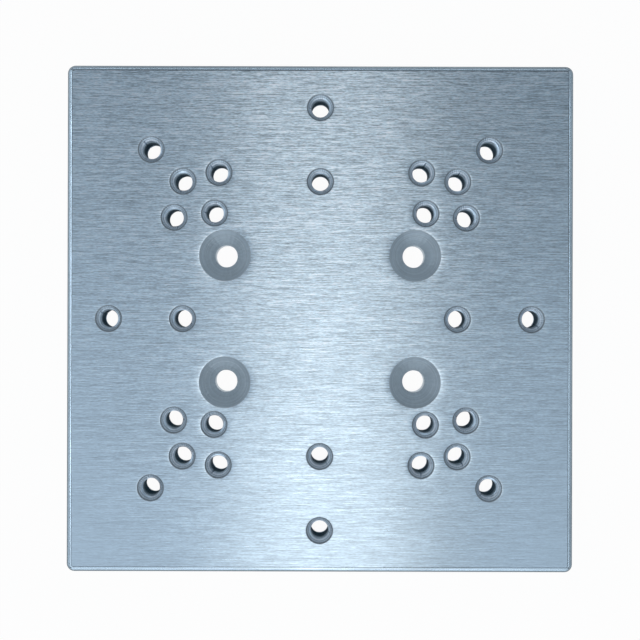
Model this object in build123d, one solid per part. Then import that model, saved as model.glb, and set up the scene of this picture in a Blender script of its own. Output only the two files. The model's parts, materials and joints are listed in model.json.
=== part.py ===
from build123d import *
import math
import os

# Driving sizes in mm. Margins, depths and gaps round a hole are radial, so they count once a side.
# The plate lies flat: underside at z = 0, countersunk show face at z = plate_thickness.
plate_side = 152.4         # 6 in square
plate_thickness = 9.525    # 3/8 in
edge_round = 1.6           # rounding along the outlines of the show face and the underside
corner_extra = 0.8         # the upright corners are rounded by this much more than the edges

thread_radius = 3.175      # outside radius of a 1/4-20 screw
thread_depth = 0.62        # from the tapped wall out to the root of the thread
mouth_margin = 0.875       # a tapped hole's rim lies this far outside the thread
mouth_angle = 90           # included angle of the chamfer in a tapped hole's mouth
screw_play = 0.205         # room round the screw in a plain hole
sink_angle = 82            # included angle of a countersink
rim_web = 1.34             # metal left between a countersink's rim and the tapped rim beside it
burr_depth = 0.4           # light 45 degree chamfer round every hole underneath

# The holes of one corner stand in a cluster. Its outer hole is one of a 4 in square, and the
# others follow it inwards by these offsets, which are the same along X and Y unless named.
square_outer = 101.6       # side of the square through the clusters' outer holes
row_step = 9.525           # 3/8 in from each hole on the diagonal to the next
ring_out = 2.625           # a ring hole lies this far outside the middle one along its long side
ring_in = 1.3              # and this far inside the inner one along its short side
sink_in_x = 3.175          # 1/8 in from the inner tapped hole to the countersunk one, along X
sink_in_y = 12.7           # 1/2 in, along Y
cross_edge = 12.7          # 1/2 in from the plate's side to the outer hole on a centre line

# Sizes that follow from those above. A spacing runs from hole to hole across the plate.
corner_round = edge_round + corner_extra
tap_radius = thread_radius - thread_depth
mouth_radius = thread_radius + mouth_margin
screw_radius = thread_radius + screw_play
square_middle = square_outer - 2 * row_step
square_inner = square_middle - 2 * row_step
ring_long = square_middle + 2 * ring_out
ring_short = square_inner - 2 * ring_in
sink_x = square_inner - 2 * sink_in_x
sink_y = square_inner - 2 * sink_in_y
cross_outer = plate_side - 2 * cross_edge
cross_inner = square_middle
sink_rim = math.hypot(sink_in_x, sink_in_y) - mouth_radius - rim_web
overshoot = 1.0            # how far a cutter runs past each face


def blank():
    # square slab with rounded upright corners, then both outlines rounded over
    outline = RectangleRounded(plate_side, plate_side, corner_round)
    slab = extrude(outline, plate_thickness)
    faces = slab.faces().filter_by(Axis.Z)
    rims = [edge for face in faces for edge in face.edges()]
    return fillet(rims, edge_round)


def hole_cutter(wall_radius, rim_radius, included_angle):
    # plain wall, a cone opening upwards to rim_radius at the show face, a burr chamfer below
    slope = math.tan(math.radians(included_angle / 2))
    cone_depth = (rim_radius - wall_radius) / slope
    top = plate_thickness + overshoot
    profile = Polyline(
        (0, 0, -overshoot),
        (wall_radius + burr_depth + overshoot, 0, -overshoot),
        (wall_radius, 0, burr_depth),
        (wall_radius, 0, plate_thickness - cone_depth),
        (rim_radius + overshoot * slope, 0, top),
        (0, 0, top),
        close=True,
    )
    return revolve(make_face(profile), Axis.Z)


def rectangle(along_x, along_y):
    # the four corners of a rectangle centred on the plate
    return [(sx * along_x / 2, sy * along_y / 2) for sx in (-1, 1) for sy in (-1, 1)]


def cross(across):
    # four holes on the centre lines
    half = across / 2
    return [(half, 0), (0, half), (-half, 0), (0, -half)]


def tapped_places():
    circles = cross(cross_outer) + cross(cross_inner)
    squares = []
    for side in (square_outer, square_middle, square_inner):
        squares += rectangle(side, side)
    ring = rectangle(ring_long, ring_short) + rectangle(ring_short, ring_long)
    return circles + squares + ring


def plate():
    tapped = hole_cutter(tap_radius, mouth_radius, mouth_angle)
    sunk = hole_cutter(screw_radius, sink_rim, sink_angle)
    cutters = [Pos(x, y, 0) * tapped for x, y in tapped_places()]
    cutters += [Pos(x, y, 0) * sunk for x, y in rectangle(sink_x, sink_y)]
    return blank() - cutters


os.makedirs("parts", exist_ok=True)
body = plate()
export_step(body, "parts/plate.step")
box = body.bounding_box().size
print("plate", round(box.X, 3), round(box.Y, 3), round(box.Z, 3), "volume", round(body.volume, 1))
print("spacings", [round(v, 3) for v in (cross_outer, cross_inner, square_outer, square_middle)])
print("spacings", [round(v, 3) for v in (square_inner, ring_long, ring_short, sink_x, sink_y)])
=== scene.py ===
import json
import math

import bpy
import numpy as np
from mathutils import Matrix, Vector
from mathutils.geometry import delaunay_2d_cdt


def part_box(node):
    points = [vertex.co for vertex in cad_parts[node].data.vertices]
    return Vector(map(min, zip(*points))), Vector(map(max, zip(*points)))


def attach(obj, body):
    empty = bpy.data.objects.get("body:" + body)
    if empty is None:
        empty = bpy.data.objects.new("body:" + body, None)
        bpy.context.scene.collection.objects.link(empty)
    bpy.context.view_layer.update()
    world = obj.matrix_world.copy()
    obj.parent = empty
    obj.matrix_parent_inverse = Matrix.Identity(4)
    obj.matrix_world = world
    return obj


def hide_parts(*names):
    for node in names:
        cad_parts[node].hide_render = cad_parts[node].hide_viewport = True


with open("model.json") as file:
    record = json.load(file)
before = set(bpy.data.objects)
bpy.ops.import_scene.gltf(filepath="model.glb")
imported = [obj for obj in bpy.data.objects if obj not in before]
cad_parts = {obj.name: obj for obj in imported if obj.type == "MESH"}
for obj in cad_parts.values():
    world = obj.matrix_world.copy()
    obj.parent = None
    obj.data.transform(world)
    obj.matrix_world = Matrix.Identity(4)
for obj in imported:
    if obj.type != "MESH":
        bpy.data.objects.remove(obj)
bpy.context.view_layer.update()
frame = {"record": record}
lowCorner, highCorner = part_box("plate")
plateSide = highCorner.x - lowCorner.x
plateThickness = highCorner.z - lowCorner.z
print("frame loaded, plate", round(plateSide * 1000, 3), "by", round(plateThickness * 1000, 3), "mm")

# lengths in metres and angles in degrees, except where a note says mm
slabShape = {
    "edgeRound": 0.0016,      # rounding along the outlines of both faces
    "cornerRound": 0.0024,    # upright corners, at their widest
    "roundSteps": 8,          # facets over a quarter turn, along the edges and at the corners
    "sideSteps": 26,          # points along each straight side
    "guardRing": 0.00012,     # narrow flat strip inside the rounding, which keeps the face's shading flat
    "lattice": 0.0065,        # spacing of the loose points that keep the face triangles compact
    "rollRings": 4,           # rings of points that carry the roll-off round each rim
    "crease": 28,             # facets that meet at more than this are shaded apart
}
tappedShape = {
    "pitch": 0.00127,         # 20 threads to the inch
    "crestCut": 0.00007,      # thread crests stand this far back from the stated wall
    "threadDepth": 0.00055,   # crest to thread root
    "rootFlat": 0.00016,      # flat at the thread root
    "flankAngle": 30,         # each flank, from the plane across the hole
    "rimRadius": 0.00405,     # chamfered mouth at the show face
    "mouthAngle": 90,         # included angle of the mouth's chamfer
    "mouthSlack": 0.00009,    # a facet this little outside the chamfer still takes its finish
    "rimSoft": 0.00014,       # rounding where the chamfer meets the face
    "rollWide": 0.0016,       # brushing rolls the show face over by a hair this far round the rim
    "rollDeep": 0.000026,
    "burr": 0.0004,           # 45 degree chamfer underneath
    "aroundSteps": 44,
    "seed": 11,               # where each hole's thread starts
}
sunkShape = {
    "rimRadius": 0.0077,
    "coneAngle": 82,          # included angle of the countersink
    "rimSoft": 0.00018,
    "rollWide": 0.0023,
    "rollDeep": 0.000042,
    "burr": 0.0004,
    "grooveAt": 0.00622,      # radius of the turning groove in the cone
    "grooveWide": 0.00020,
    "grooveDeep": 0.00008,
    "aroundSteps": 112,
    "coneRows": 10,
    "wallRows": 4,
}
holePatterns = [mount for mount in frame["record"]["mounts"] if mount["kind"] == "bolt_pattern"]
sunkPatterns = [mount["dims"] for mount in holePatterns if mount["name"] == "countersunk"]
tappedPatterns = [mount["dims"] for mount in holePatterns if mount["name"] != "countersunk"]
tappedShape["wallRadius"] = tappedPatterns[0]["hole_r_mm"] / 1000
sunkShape["wallRadius"] = sunkPatterns[0]["hole_r_mm"] / 1000
tiny = 1e-9                   # lengths under this count as nothing
weldGrid = 1e7                # points that agree to one part in this of a metre are the same


def holePlaces(patterns):
    # corners of each stated rectangle, or count points spread evenly on each stated circle
    places = []
    for dims in patterns:
        if "pcd_mm" in dims:
            turn = np.arange(dims["count"]) * 2 * math.pi / dims["count"]
            places.append(dims["pcd_mm"] / 2000 * np.stack([np.cos(turn), np.sin(turn)], 1))
        else:
            halves = np.array([dims["spacing_x_mm"], dims["spacing_y_mm"]]) / 2000
            places.append(np.array([(-1, -1), (-1, 1), (1, -1), (1, 1)]) * halves)
    return np.concatenate(places)


def span(spots):
    # distance of each point from the origin of X and Y
    return np.hypot(*spots.T)


def turnAngles(shape):
    # bearings of a hole's columns, evenly round the turn
    return np.arange(shape["aroundSteps"]) * 2 * math.pi / shape["aroundSteps"]


def chamferRadius(shape, angle, height):
    # rim radius less the depth below the show face times the tangent of half the included angle
    return shape["rimRadius"] - (plateThickness - height) * math.tan(math.radians(angle / 2))


def softRim(shape, halfAngle, steps=3):
    # arc of radius soft that is tangent to the face and to the cone: radius falls with sin, height with cos
    turn, soft = math.radians(90 - halfAngle), shape["rimSoft"]
    phi = np.linspace(turn, 0, steps + 1)
    radius = shape["rimRadius"] + soft * math.tan(turn / 2) - soft * np.sin(phi)
    height = plateThickness - shape["rollDeep"] - soft + soft * np.cos(phi)
    return radius, height


def faceFall(spots, rims, shapes):
    # the face rolls off towards a rim by rollDeep * (1 - distance past the rim / rollWide) squared
    fall = np.zeros(len(spots))
    for rim, shape in zip(rims, shapes):
        middle = rim.mean(0)
        past = span(spots - middle) - span(rim - middle).mean()
        share = np.clip(1 - np.maximum(past, 0) / shape["rollWide"], 0, 1)
        fall = np.maximum(fall, shape["rollDeep"] * share ** 2)
    return fall


def tubeGrid(centre, radius, height, angle):
    # point = centre + radius * (cos, sin) of the angle, at height; rows run upwards, columns round the hole
    x = centre[0] + radius * np.cos(angle)
    y = centre[1] + radius * np.sin(angle)
    return np.stack([x, y, height], -1)


def tappedHole(centre, start):
    # radius = the larger of thread and chamfers. The thread is a trapezoid in the phase
    # height / pitch - angle / turn, and the rows follow the helix, so its edges stay crisp.
    s = tappedShape
    pitch, wall = s["pitch"], s["wallRadius"] + s["crestCut"]
    angle = turnAngles(s)
    flank = s["threadDepth"] * math.tan(math.radians(s["flankAngle"]))
    crest = pitch - s["rootFlat"] - 2 * flank
    parts = [s["rootFlat"], flank / 2, flank / 2, crest / 2, crest / 2, flank / 2, flank / 2]
    breaks = np.concatenate([[0], np.cumsum(parts)[:-1]]) / pitch
    turns = np.arange(-1, math.ceil(plateThickness / pitch) + 1)
    phase = (turns[:, None] + breaks).ravel()
    softRadius, softHeight = softRim(s, s["mouthAngle"] / 2)
    lead = (angle / (2 * math.pi) + start) % 1
    height = np.clip((phase[:, None] + lead) * pitch, 0, softHeight[0])
    offRoot = np.abs((height / pitch - lead - breaks[1] / 2 + 0.5) % 1 - 0.5) * pitch - s["rootFlat"] / 2
    thread = wall + s["threadDepth"] * np.clip(1 - offRoot / flank, 0, 1)
    mouth = chamferRadius(s, s["mouthAngle"], height)
    below = wall + s["burr"] - height
    radius = np.maximum(np.maximum(thread, mouth), below)
    ring = np.ones_like(angle)
    radius = np.concatenate([radius, softRadius[1:, None] * ring])
    height = np.concatenate([height, softHeight[1:, None] * ring])
    return tubeGrid(centre, radius, height, angle)


def sunkHole(centre):
    # profile turned about the hole's axis: burr chamfer, plain wall, cone with one shallow groove, soft rim
    s = sunkShape
    wall = s["wallRadius"]
    slope = math.tan(math.radians(s["coneAngle"] / 2))
    softRadius, softHeight = softRim(s, s["coneAngle"] / 2)
    coneFoot = plateThickness - (s["rimRadius"] - wall) / slope
    wallHeight = np.linspace(s["burr"], coneFoot, s["wallRows"] + 1)
    coneRadius = np.linspace(wall, softRadius[0], s["coneRows"] + 1)[1:]
    lip = s["grooveAt"] + s["grooveWide"] * np.array([-0.5, 0, 0.5])
    coneRadius = np.sort(np.concatenate([coneRadius, lip]))
    coneHeight = plateThickness - (s["rimRadius"] - coneRadius) / slope
    offGroove = np.abs(coneRadius - s["grooveAt"]) / s["grooveWide"] * 2
    coneHeight -= s["grooveDeep"] * np.clip(1 - offGroove, 0, 1)
    wallRadius = np.full(len(wallHeight), wall)
    radius = np.concatenate([[wall + s["burr"]], wallRadius, coneRadius, softRadius[1:]])
    height = np.concatenate([[0], wallHeight, coneHeight, softHeight[1:]])
    angle = turnAngles(s)
    ring = np.ones_like(angle)
    return tubeGrid(centre, radius[:, None] * ring, height[:, None] * ring, angle)


def outlineGrid():
    # rounded square carried up the edge profile: the corner radius shrinks by the same inset as the sides
    s = slabShape
    quarter = np.linspace(0, math.pi / 2, s["roundSteps"] + 1)
    inset = s["edgeRound"] * (1 - np.cos(quarter))
    rise = s["edgeRound"] * (1 - np.sin(quarter))
    guard = s["edgeRound"] + s["guardRing"]
    insets = np.concatenate([[guard], inset[::-1], inset, [guard]])
    heights = np.concatenate([[0], rise[::-1], plateThickness - rise, [plateThickness]])
    centre = plateSide / 2 - s["cornerRound"]
    share = np.arange(1, s["sideSteps"]) / s["sideSteps"]
    arc = np.stack([np.cos(quarter), np.sin(quarter)], 1)
    side = np.stack([centre * (1 - 2 * share), np.full_like(share, centre)], 1)
    upright = np.tile([0.0, 1.0], (len(share), 1))
    spots, ways = [], []
    for corner in range(4):
        turn = corner * math.pi / 2
        spin = np.array([[math.cos(turn), math.sin(turn)], [-math.sin(turn), math.cos(turn)]])
        spots.append(np.concatenate([np.full_like(arc, centre), side]) @ spin)
        ways.append(np.concatenate([arc, upright]) @ spin)
    reach = (s["cornerRound"] - insets)[:, None, None]
    flat = np.concatenate(spots) + reach * np.concatenate(ways)
    up = np.broadcast_to(heights[:, None, None], flat.shape[:2] + (1,))
    return np.concatenate([flat, up], 2)


def gridFaces(grid, inward):
    # two triangles to each cell, columns closed into a loop; inward turns them to face the middle
    rows, columns = grid.shape[:2]
    row, column = np.meshgrid(np.arange(rows - 1), np.arange(columns), indexing="ij")
    row, column = row.ravel(), column.ravel()
    after = (column + 1) % columns
    a, b = row * columns + column, row * columns + after
    c, d = (row + 1) * columns + after, (row + 1) * columns + column
    faces = np.concatenate([np.stack([a, b, c], 1), np.stack([a, c, d], 1)])
    return faces[:, ::-1] if inward else faces


def loosePoints(outline, rims, shapes, rolled):
    # square lattice that stays clear of the rims. A rolled face has rings round each rim as well:
    # ring = middle + (rim - middle) * (1 + step / rim radius)
    lattice, rollRings = slabShape["lattice"], slabShape["rollRings"]
    reach = np.abs(outline[:, 0]).max() - lattice / 2
    ticks = np.arange(-math.floor(reach / lattice), math.floor(reach / lattice) + 1) * lattice
    loose = np.stack(np.meshgrid(ticks, ticks), -1).reshape(-1, 2)
    middles = [rim.mean(0) for rim in rims]
    radii = [span(rim - middle).max() for rim, middle in zip(rims, middles)]
    gap = lattice / 4
    if rolled:
        gap = tappedShape["rollWide"] / rollRings
        rings = []
        for rim, middle, radius, shape in zip(rims, middles, radii, shapes):
            steps = np.linspace(0, shape["rollWide"], rollRings + 1)[1:]
            rings.append((middle + (rim - middle) * (1 + steps[:, None, None] / radius)).reshape(-1, 2))
            loose = loose[span(loose - middle) > radius + shape["rollWide"] + gap]
        loose = np.concatenate([loose] + rings)
    clear = gap * 0.9         # a little under the gap, so that a rim's own first ring stays
    for middle, radius in zip(middles, radii):
        loose = loose[span(loose - middle) > radius + clear]
    return loose


def inRims(spots, rims):
    # inside where the distance to a rim's middle is less than the rim's own distance on that bearing
    inside = np.zeros(len(spots), bool)
    almost = 0.999            # a spot on the rim itself stays outside
    for rim in rims:
        middle = rim.mean(0)
        spot, arms = spots - middle, rim - middle
        bearing = np.arctan2(spot[:, 1], spot[:, 0])
        armTurn = np.arctan2(arms[:, 1], arms[:, 0])
        order = np.argsort(armTurn)
        edge = np.interp(bearing, armTurn[order], span(arms)[order], period=2 * math.pi)
        inside |= span(spot) <= edge * almost
    return inside


def fillFace(outline, rims, shapes, height, upward):
    # constrained triangles between the outline and the rims, through the loose points;
    # z = height, less the roll-off on the upper face
    loops = [outline] + list(rims)
    points = np.concatenate(loops + [loosePoints(outline, rims, shapes, upward)])
    edges, first = [], 0
    for loop in loops:
        ids = first + np.arange(len(loop))
        edges.append(np.stack([ids, np.roll(ids, -1)], 1))
        first += len(loop)
    edges = np.concatenate(edges)
    found = delaunay_2d_cdt(points.tolist(), edges.tolist(), [], 0, tiny, True)
    source = np.array(found[3])[:, 0]
    faces = source[np.array(found[2])]
    faces = faces[~inRims(points[faces].mean(1), rims)]
    (ax, ay), (bx, by), (cx, cy) = (points[faces[:, k]].T for k in range(3))
    leftTurn = (bx - ax) * (cy - ay) - (by - ay) * (cx - ax) > 0
    flip = leftTurn != upward
    faces[flip] = faces[flip][:, ::-1]
    fall = faceFall(points, rims, shapes) if upward else 0
    return np.column_stack([points, np.full(len(points), height) - fall]), faces


def meshPart(points, faces, kinds, centre=None):
    # around = direction from the hole's axis to each point, of length one, or nothing away from the holes
    points = points.reshape(-1, 3)
    around = np.zeros_like(points)
    if centre is not None:
        around[:, :2] = points[:, :2] - centre
        around /= np.linalg.norm(around, axis=1, keepdims=True)
    return points, faces, np.broadcast_to(kinds, len(faces)), around


def weld(parts):
    # parts end to end; points that agree on the weld grid become one, and triangles that this closes up go
    starts = np.cumsum([0] + [len(part[0]) for part in parts[:-1]])
    points, _, kinds, around = (np.concatenate(column) for column in zip(*parts))
    faces = np.concatenate([part[1] + start for part, start in zip(parts, starts)])
    keys = np.round(points * weldGrid).astype(np.int64)
    _, first, same = np.unique(keys, axis=0, return_index=True, return_inverse=True)
    faces = same.reshape(-1)[faces]
    a, b, c = faces.T
    whole = (a != b) & (b != c) & (c != a)
    faces, kinds = faces[whole], kinds[whole]
    used = np.unique(faces)
    renumber = np.zeros(len(first), np.int64)
    renumber[used] = np.arange(len(used))
    return points[first][used], renumber[faces], kinds, around[first][used]


brushedKind, edgeKind, sinkKind, mouthKind, threadKind = range(5)


def tappedKinds(tube, faces, centre):
    # mouth where a facet's middle lies on the chamfer or inside it, thread elsewhere
    s = tappedShape
    spots = tube.reshape(-1, 3)[faces].mean(1)
    mouth = chamferRadius(s, s["mouthAngle"], spots[:, 2])
    onMouth = (span(spots[:, :2] - centre) < mouth + s["mouthSlack"]) & (mouth > s["wallRadius"])
    return np.where(onMouth, mouthKind, threadKind)


def plateMesh():
    # a tube for every hole, the rounded outline round them, and the two faces between, welded into one skin
    tappedAt, sunkAt = holePlaces(tappedPatterns), holePlaces(sunkPatterns)
    starts = np.random.default_rng(tappedShape["seed"]).random(len(tappedAt))
    tubes, parts = [], []
    for centre, start in zip(tappedAt, starts):
        tube = tappedHole(centre, start)
        faces = gridFaces(tube, True)
        tubes.append(tube)
        parts.append(meshPart(tube, faces, tappedKinds(tube, faces, centre), centre))
    for centre in sunkAt:
        tube = sunkHole(centre)
        tubes.append(tube)
        parts.append(meshPart(tube, gridFaces(tube, True), sinkKind, centre))
    outline = outlineGrid()
    parts.append(meshPart(outline, gridFaces(outline, False), edgeKind))
    shapes = [tappedShape] * len(tappedAt) + [sunkShape] * len(sunkAt)
    for height, row in ((0, 0), (plateThickness, -1)):
        rims = [tube[row, :, :2] for tube in tubes]
        points, faces = fillFace(outline[row, :, :2], rims, shapes, height, row == -1)
        parts.append(meshPart(points, faces, brushedKind))
    return weld(parts)


def sharpBorders(mesh, points, faces):
    # an edge between a level face and a sloping one is sharp as well as each crease, or the wide face
    # triangles would shade as if they were tilted
    mesh.set_sharp_from_angle(angle=math.radians(slabShape["crease"]))
    loopEdge = np.empty(len(mesh.loops), np.int32)
    mesh.loops.foreach_get("edge_index", loopEdge)
    az, bz, cz = (points[faces[:, k], 2] for k in range(3))
    level = (np.abs(az - bz) < tiny) & (np.abs(bz - cz) < tiny)
    levelSides = np.bincount(loopEdge, np.repeat(level, 3), minlength=len(mesh.edges))
    sharp = np.empty(len(mesh.edges), bool)
    mesh.edges.foreach_get("use_edge_sharp", sharp)
    mesh.edges.foreach_set("use_edge_sharp", sharp | (levelSides == 1))


def buildObject(name, points, faces, kinds, around, materials):
    # one mesh object at the origin, with a material for each kind and the bearings in its own attribute
    mesh = bpy.data.meshes.new(name)
    mesh.vertices.add(len(points))
    mesh.vertices.foreach_set("co", points.astype(np.float32).ravel())
    mesh.loops.add(faces.size)
    mesh.loops.foreach_set("vertex_index", faces.astype(np.int32).ravel())
    mesh.polygons.add(len(faces))
    mesh.polygons.foreach_set("loop_start", np.arange(len(faces), dtype=np.int32) * 3)
    mesh.polygons.foreach_set("material_index", kinds.astype(np.int32))
    mesh.update(calc_edges=True)
    mesh.validate()
    mesh.shade_smooth()
    sharpBorders(mesh, points, faces)
    bearings = mesh.attributes.new("around", "FLOAT_VECTOR", "POINT")
    bearings.data.foreach_set("vector", around.astype(np.float32).ravel())
    for material in materials:
        mesh.materials.append(material)
    piece = bpy.data.objects.new(name, mesh)
    bpy.context.scene.collection.objects.link(piece)
    return piece


# grains: streaks per metre along X, Y and Z, and how strongly they darken and lighten the tint.
# grain strength: at the middle, its rise with Y and its fall with X squared, in metres; a painted sheen on
# real grain, which makes the streaks stronger where the reflected light brings them out.
# clouds: broad drifts of the tint, per metre too. roughDrift: how far the first grain moves the roughness.
# grazing: how much of the shine is left where the metal is seen at a slant.
# painted light by depth: height below the show face in mm, and the tint's gain there, which paints shade
# and highlights into the tint.
brushedFinish = {
    "tint": (0.570, 0.690, 0.785),   # blue-silver of the brushed face
    "rough": 0.31,
    "stretch": 0.93,                 # brushing spreads the shine across the grain
    "grains": [((80, 5600, 40), 0.98), ((260, 6800, 40), 1.50), ((900, 6200, 40), 1.10)],
    "sheenStrength": (1.36, 9.0, 90),
    "clouds": (14, 42, 40),
    "cloudDepth": 0.10,
    "roughDrift": 0.16,
    "bumpDepth": 0.000012,           # height of the finest grain
}
edgeFinish = {
    # the same metal as the face, with a lighter tint: painted light on the rounding
    "tint": (0.630, 0.750, 0.840),
    "grazing": (0.25, 0.30, 0.35),
    "rough": 0.25,
    "stretch": 0.40,
    "grains": [((110, 110, 5200), 0.5), ((32, 32, 1500), 0.4)],
    "roughDrift": 0.2,
    "bumpDepth": 0.000010,
    # painted shade: a dark band over the lower part of the rounding, for the shade along the plate's
    # outline
    "paintedLightByDepth": [(0.0, 1.0), (0.15, 1.0), (0.4, 0.6), (0.65, 0.38), (1.3, 0.38), (1.8, 0.8)],
}
turnedFinish = {
    "tint": (0.520, 0.588, 0.637),   # greyer than the brushed face
    "rough": 0.50,
    "stretch": 0.50,
    "grains": [((55, 55, 6800), 0.35), ((38, 38, 2100), 0.30)],
    "roughDrift": 0.25,
    "bumpDepth": 0.000008,
    "chatterLobes": 26,              # cutter chatter, in waves round a hole
    "chatterDepth": 0.000020,
    "paintedLightByDepth": [                   # painted shade at the rim, a painted highlight line in the cone and a painted shade line lower down
        (0.0, 0.84), (0.16, 1.0), (0.92, 1.0), (1.02, 1.2),
        (1.12, 1.0), (1.5, 1.0), (1.6, 0.9), (1.7, 1.0),
    ],
}
mouthFinish = dict(
    turnedFinish,
    # the same turned metal as the cones, with a lighter tint: painted light
    tint=(0.660, 0.750, 0.825),
    rough=0.42,
    chatterLobes=34,
    chatterDepth=0.000030,
    paintedLightByDepth=[                      # painted shade at the rim, then two painted highlight rings with painted shade between
        (0.0, 0.46), (0.28, 0.52), (0.46, 1.08), (0.6, 1.08),
        (0.76, 0.72), (0.9, 1.38), (1.15, 1.38), (1.3, 0.8),
    ],
)
threadFinish = {
    "tint": (0.640, 0.770, 0.890),
    "grazing": (0.30, 0.38, 0.44),
    "rough": 0.34,
    "stretch": 0.3,
    "grains": [((160, 160, 5200), 0.6), ((70, 70, 1300), 0.5)],
    "roughDrift": 0.2,
    "bumpDepth": 0.000012,
    "paintedLightByDepth": [                   # painted shade: the threads darken with depth, and painted light makes the last one light again
        (0.85, 0.9), (0.94, 1.12), (1.2, 1.12), (1.5, 0.8), (2.2, 0.55),
        (3.2, 0.24), (4.6, 0.06), (8.1, 0.06), (8.7, 0.8),
    ],
}
lightestTint = (0.88, 0.93, 1.0)     # where light streaks stop, so that they stay a blue white
acrossGrain = 0.25                   # in turns: the shine stretches at right angles to the lay
streakDetail = 2.0
cloudDetail = 3.0
streakShift = Vector((3.1, 7.7, 1.9))    # moves each further grain on, so that no two line up
cloudShift = (9.4, 1.3, 4.2)
chatterDrift = {"scale": (150, 150, 600), "detail": 1, "shift": (5, 2, 8), "swing": 9.0}
# start and end of each mark on the show face in mm, its half width, and how much lighter or darker it is
handlingMarks = [
    ((51.0, 13.2), (58.8, 8.6), 0.16, 0.16),
    ((52.5, 11.4), (56.2, 9.9), 0.22, -0.12),
    ((4.4, 70.1), (9.3, 66.4), 0.18, -0.18),
    ((5.6, 69.6), (10.4, 66.9), 0.14, 0.14),
    ((-19.3, 65.1), (-18.2, 65.5), 0.26, -0.22),
    ((-46.9, 9.3), (-45.8, 9.6), 0.22, -0.20),
    ((33.0, 73.0), (34.2, 73.2), 0.24, -0.20),
    ((35.1, -46.7), (36.1, -46.3), 0.22, -0.20),
]


def emptyMaterial(name):
    # a material with no nodes yet, and its tree
    material = bpy.data.materials.new(name)
    material.use_nodes = True
    material.node_tree.nodes.clear()
    return material, material.node_tree


def feed(tree, socket, value):
    # a socket's value is linked in where it comes from another node, and set where it is constant
    if isinstance(value, bpy.types.NodeSocket):
        tree.links.new(value, socket)
    else:
        socket.default_value = value


def node(tree, kind, inputs=(), **settings):
    # a new node; inputs are values or links for its sockets in order
    made = tree.nodes.new(kind)
    for key, value in settings.items():
        setattr(made, key, value)
    for socket, value in zip(made.inputs, inputs):
        feed(tree, socket, value)
    return made


def calc(tree, operation, *values):
    # a number worked out by a Math node
    return node(tree, "ShaderNodeMath", values, operation=operation).outputs[0]


def vector(tree, operation, *values):
    # a Vector Math node, whose outputs hold the vector and its value
    return node(tree, "ShaderNodeVectorMath", values, operation=operation)


def scaled(tree, direction, factor):
    # direction * factor
    product = node(tree, "ShaderNodeVectorMath", [direction], operation="SCALE")
    feed(tree, product.inputs["Scale"], factor)
    return product.outputs[0]


def place(tree):
    # the object coordinate in metres
    return node(tree, "ShaderNodeTexCoord").outputs["Object"]


def placeParts(tree):
    # the object coordinate's X, Y and Z
    return node(tree, "ShaderNodeSeparateXYZ", [place(tree)]).outputs


def grain(tree, scale, detail, shift):
    # noise on object coordinates, stretched by the scale, less its middle value of a half
    mapping = node(tree, "ShaderNodeMapping", [place(tree)])
    mapping.inputs["Scale"].default_value = scale
    mapping.inputs["Location"].default_value = shift
    noise = node(tree, "ShaderNodeTexNoise", [mapping.outputs[0]])
    noise.inputs["Scale"].default_value = 1.0
    noise.inputs["Detail"].default_value = detail
    return calc(tree, "SUBTRACT", noise.outputs["Fac"], 0.5)


def scratch(tree, start, end, halfWidth, gain):
    # gain * smooth fall of the distance to the segment, from 1 on its line to 0 at halfWidth
    first = (start[0] / 1000, start[1] / 1000, plateThickness)
    run = ((end[0] - start[0]) / 1000, (end[1] - start[1]) / 1000, 0)
    runSquared = run[0] ** 2 + run[1] ** 2
    arm = vector(tree, "SUBTRACT", place(tree), first).outputs[0]
    along = calc(tree, "DIVIDE", vector(tree, "DOT_PRODUCT", arm, run).outputs["Value"], runSquared)
    along = calc(tree, "MINIMUM", calc(tree, "MAXIMUM", along, 0.0), 1.0)
    away = vector(tree, "SUBTRACT", arm, scaled(tree, run, along)).outputs[0]
    gap = vector(tree, "LENGTH", away).outputs["Value"]
    fall = node(tree, "ShaderNodeMapRange", [gap, halfWidth / 1000, 0.0, 0.0, gain])
    fall.interpolation_type = "SMOOTHSTEP"
    return fall.outputs[0]


def chatter(tree, finish):
    # height = chatterDepth * sin(lobes * angle + drift): waves round each hole, from the stored bearing
    around = node(tree, "ShaderNodeAttribute", attribute_name="around")
    parts = node(tree, "ShaderNodeSeparateXYZ", [around.outputs["Vector"]])
    turn = calc(tree, "ARCTAN2", parts.outputs[1], parts.outputs[0])
    drift = grain(tree, chatterDrift["scale"], chatterDrift["detail"], chatterDrift["shift"])
    drift = calc(tree, "MULTIPLY", drift, chatterDrift["swing"])
    wave = calc(tree, "SINE", calc(tree, "MULTIPLY_ADD", turn, finish["chatterLobes"], drift))
    return calc(tree, "MULTIPLY", wave, finish["chatterDepth"])


def paintedLightByDepth(tree, stops):
    # painted light and shade: straight lines between the gains at the given heights below the show face
    below = calc(tree, "MULTIPLY", calc(tree, "SUBTRACT", plateThickness, placeParts(tree)[2]), 1000)
    total = stops[0][1]
    for (low, before), (high, after) in zip(stops, stops[1:]):
        step = node(tree, "ShaderNodeMapRange", [below, low, high, 0.0, after - before])
        total = calc(tree, "ADD", total, step.outputs[0])
    return total


def paintedSheenStrength(tree, middle, rise, fall):
    # middle + rise * y - fall * x squared: the grains' strength across the face, a painted sheen that makes
    # the streaks stronger where the reflected light brings them out
    x, y, _ = placeParts(tree)
    along = calc(tree, "MULTIPLY_ADD", y, rise, middle)
    return calc(tree, "MULTIPLY_ADD", calc(tree, "MULTIPLY", x, x), -fall, along)


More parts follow.
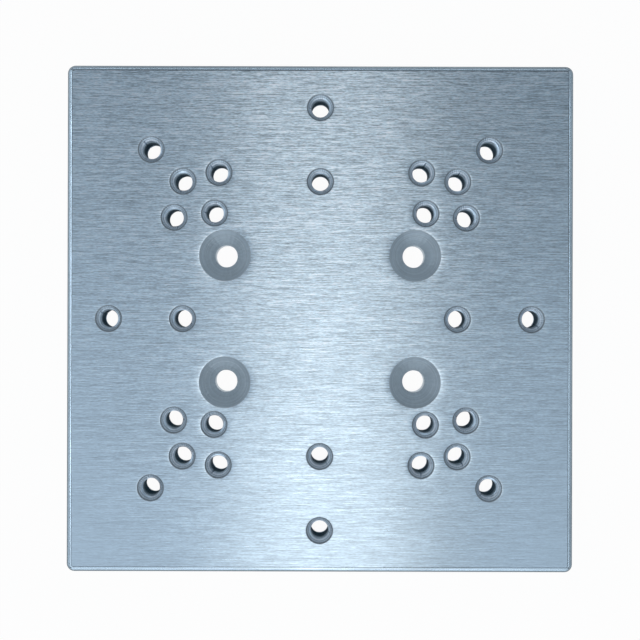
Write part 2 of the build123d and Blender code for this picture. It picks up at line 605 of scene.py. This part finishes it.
def tintOf(tree, finish, streaks, marks):
    # tint * (exp(grain strength * sum of grain * depth) + clouds + marks) * painted light and shade by
    # depth, no lighter than lightestTint
    level = 0.0
    for streak, (_, depth) in zip(streaks, finish["grains"]):
        level = calc(tree, "MULTIPLY_ADD", streak, depth, level)
    if "sheenStrength" in finish:
        # painted sheen: the grains are made stronger down the middle and towards +Y
        level = calc(tree, "MULTIPLY", level, paintedSheenStrength(tree, *finish["sheenStrength"]))
    level = calc(tree, "EXPONENT", level)
    if "clouds" in finish:
        cloud = grain(tree, finish["clouds"], cloudDetail, cloudShift)
        level = calc(tree, "MULTIPLY_ADD", cloud, finish["cloudDepth"], level)
    for mark in marks:
        level = calc(tree, "ADD", level, scratch(tree, *mark))
    if "paintedLightByDepth" in finish:
        level = calc(tree, "MULTIPLY", level, paintedLightByDepth(tree, finish["paintedLightByDepth"]))
    return vector(tree, "MINIMUM", scaled(tree, finish["tint"], level), lightestTint).outputs[0]


def reliefOf(tree, finish, streaks):
    # normal bumped by bumpDepth * finest grain, and by the chatter where there is any
    height = calc(tree, "MULTIPLY", streaks[-1], finish["bumpDepth"])
    if "chatterLobes" in finish:
        height = calc(tree, "ADD", height, chatter(tree, finish))
    bump = node(tree, "ShaderNodeBump")
    bump.inputs["Strength"].default_value = 1.0
    bump.inputs["Distance"].default_value = 1.0
    feed(tree, bump.inputs["Height"], height)
    return bump.outputs[0]


def layOf(tree, alongX):
    # direction of the tool marks: along X, or level and square to the surface's normal, so round a hole
    if alongX:
        return node(tree, "ShaderNodeCombineXYZ", [1.0, 0.0, 0.0]).outputs[0]
    normal = node(tree, "ShaderNodeNewGeometry").outputs["True Normal"]
    return vector(tree, "CROSS_PRODUCT", normal, (0, 0, 1)).outputs[0]


def metal(name, finish, alongX=False, marks=()):
    # bare metal: roughness = rough - roughDrift * first grain, shine stretched across the lay
    material, tree = emptyMaterial(name)
    shader = node(tree, "ShaderNodeBsdfPrincipled")
    node(tree, "ShaderNodeOutputMaterial", [shader.outputs[0]])
    shader.inputs["Metallic"].default_value = 1.0
    shader.inputs["Anisotropic"].default_value = finish["stretch"]
    shader.inputs["Anisotropic Rotation"].default_value = acrossGrain
    if "grazing" in finish:
        shader.inputs["Specular Tint"].default_value = (*finish["grazing"], 1)
    streaks = []
    for number, (scale, _) in enumerate(finish["grains"]):
        streaks.append(grain(tree, scale, streakDetail, number * streakShift))
    rough = calc(tree, "MULTIPLY_ADD", streaks[0], -finish["roughDrift"], finish["rough"])
    feed(tree, shader.inputs["Base Color"], tintOf(tree, finish, streaks, marks))
    feed(tree, shader.inputs["Roughness"], rough)
    feed(tree, shader.inputs["Normal"], reliefOf(tree, finish, streaks))
    feed(tree, shader.inputs["Tangent"], layOf(tree, alongX))
    return material


floorLook = {
    "reach": 3.0,             # half the floor's side
    "drop": 0.00002,          # below the plate, so that the two never share a plane
    "grey": 0.9,
    "glow": 0.96,             # share of plain white that the eye and reflections see
}


def floorMaterial():
    # diffuse for the light, and mostly an even white for what the camera, gloss and glass see of it
    material, tree = emptyMaterial("paleFloor")
    lit = node(tree, "ShaderNodeBsdfDiffuse", [(*[floorLook["grey"]] * 3, 1)])
    glow = node(tree, "ShaderNodeEmission")
    seen = node(tree, "ShaderNodeLightPath")
    either = calc(tree, "MAXIMUM", seen.outputs["Is Camera Ray"], seen.outputs["Is Glossy Ray"])
    either = calc(tree, "MAXIMUM", either, seen.outputs["Is Transmission Ray"])
    share = calc(tree, "MULTIPLY", either, floorLook["glow"])
    mix = node(tree, "ShaderNodeMixShader", [share, lit.outputs[0], glow.outputs[0]])
    node(tree, "ShaderNodeOutputMaterial", [mix.outputs[0]])
    return material


def floorSheet():
    # one level square just under the plate
    reach, level = floorLook["reach"], -floorLook["drop"]
    corners = [(x * reach, y * reach, level) for x, y in ((-1, -1), (1, -1), (1, 1), (-1, 1))]
    mesh = bpy.data.meshes.new("floor")
    mesh.from_pydata(corners, [], [(0, 1, 2, 3)])
    mesh.materials.append(floorMaterial())
    sheet = bpy.data.objects.new("floor", mesh)
    bpy.context.scene.collection.objects.link(sheet)
    return sheet


points, faces, kinds, around = plateMesh()
print("plate mesh", len(points), "points", len(faces), "triangles")
materials = [
    metal("brushedFace", brushedFinish, True, handlingMarks),
    metal("roundedEdge", edgeFinish),
    metal("turnedCone", turnedFinish),
    metal("turnedMouth", mouthFinish),
    metal("cutThread", threadFinish),
]
print("materials", len(materials))
piece = buildObject("mountingPlate", points, faces, kinds, around, materials)
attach(piece, "root")
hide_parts("plate")
floorSheet()
print("piece and floor in place")

# size along X and Y in metres, where each softbox hangs, what it points at, its brightness and colour
white, cool, roomBlue = (1.0, 1.0, 1.0), (0.82, 0.90, 1.0), (0.80, 0.90, 1.0)
softboxes = {
    "bandLamp": ((0.24, 1.6), (0.01, -0.8, 1.0), (0.01, -0.8, 0), 1.42, white),
    "bandEnd": ((0.24, 0.4), (0.01, 0.2, 1.0), (0.01, 0.2, 0), 0.59, white),
    "bandSide": ((0.06, 0.4), (0.16, -0.2, 1.0), (0.16, -0.2, 0), 0.60, (0.9, 0.95, 1.0)),
    "leftLamp": ((0.48, 1.6), (-0.34, -0.8, 1.0), (-0.34, -0.8, 0), 0.62, cool),
    "leftEnd": ((0.48, 0.4), (-0.34, 0.2, 1.0), (-0.34, 0.2, 0), 0.14, cool),
    "rightLamp": ((0.44, 1.6), (0.41, -0.8, 1.0), (0.41, -0.8, 0), 0.60, (0.81, 0.90, 1.0)),
    "leftHigh": ((1.4, 0.20), (-0.68, -0.1, 0.95), (0, 0, 0), 2.0, (0.84, 0.92, 1.0)),
    "rightHigh": ((1.2, 0.16), (0.75, 0, 0.95), (0, 0, 0), 1.2, roomBlue),
    "backHigh": ((1.2, 0.16), (0, 0.95, 0.8), (0, 0, 0), 1.1, roomBlue),
    "frontWall": ((2.4, 0.7), (0, -1.5, 0.65), (0, 0, 0.65), 1.10, roomBlue),
    "leftWall": ((2.4, 0.7), (-1.5, 0, 0.65), (0, 0, 0.65), 0.60, roomBlue),
    "rightWall": ((2.4, 0.7), (1.5, 0, 0.65), (0, 0, 0.65), 0.30, roomBlue),
    "backWall": ((2.4, 0.7), (0, 1.5, 0.65), (0, 0, 0.65), 0.15, roomBlue),
}
roomGlow = {"colour": (*roomBlue, 1), "strength": 0.210}


def softbox(name, size, spot, target, brightness, colour):
    # watts = area * pi * brightness, at which a perfect mirror shows a brightness of 1 as white
    lamp = bpy.data.lights.new(name, "AREA")
    lamp.shape = "RECTANGLE"
    lamp.size, lamp.size_y = size
    lamp.energy = size[0] * size[1] * math.pi * brightness
    lamp.color = colour
    holder = bpy.data.objects.new(name, lamp)
    holder.location = spot
    holder.rotation_euler = (Vector(target) - Vector(spot)).to_track_quat("-Z", "Y").to_euler()
    bpy.context.scene.collection.objects.link(holder)


for name, facts in softboxes.items():
    softbox(name, *facts)
world = bpy.data.worlds.new("studio")
bpy.context.scene.world = world
world.use_nodes = True
background = world.node_tree.nodes["Background"]
background.inputs["Color"].default_value = roomGlow["colour"]
background.inputs["Strength"].default_value = roomGlow["strength"]
print("softboxes", len(softboxes))

view = {
    "eyeHeight": 0.275,       # above the show face
    "eyeY": 0.0026,           # off the middle of the plate
    "lens": 51.53,            # mm, on a sensor 36 mm wide
    "sensor": 36,
    "roll": 0.155,
    "shiftY": -0.0151,        # share of the picture's width
    "clipStart": 0.01,
}
lens = bpy.data.cameras.new("camera")
lens.lens = view["lens"]
lens.sensor_width = view["sensor"]
lens.shift_y = view["shiftY"]
lens.clip_start = view["clipStart"]
eye = bpy.data.objects.new("camera", lens)
eye.location = (0, view["eyeY"], plateThickness + view["eyeHeight"])
eye.rotation_euler = (0, 0, math.radians(view["roll"]))
bpy.context.scene.collection.objects.link(eye)
bpy.context.scene.camera = eye
bpy.context.scene.view_settings.view_transform = "Standard"
print("camera in place")
